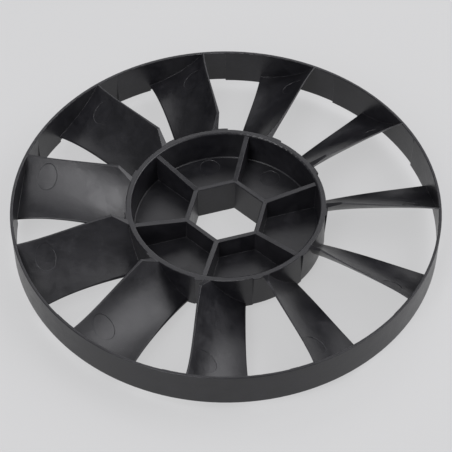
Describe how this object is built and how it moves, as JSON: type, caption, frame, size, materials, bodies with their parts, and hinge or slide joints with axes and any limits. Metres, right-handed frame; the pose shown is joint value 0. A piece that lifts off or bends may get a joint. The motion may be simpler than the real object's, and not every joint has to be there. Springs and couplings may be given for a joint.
{
  "type": "axial fan impeller",
  "caption": "Plastic axial fan impeller: an outer ring joined by twisted blades to an open ribbed hub with a hexagonal shaft socket.",
  "frame": {"origin": "on the axis, at the lower end of the hexagonal socket, on which the impeller stands", "axes": "+Z along the axis, out of the hub's open, ribbed side; -Y towards the viewer of the source picture"},
  "size_m": [0.2, 0.2, 0.0282],
  "materials": {
    "impeller": "black moulded plastic with a fine texture and a soft sheen"
  },
  "bodies": {
    "root": {"impeller": "impeller"}
  },
  "joints": []
}
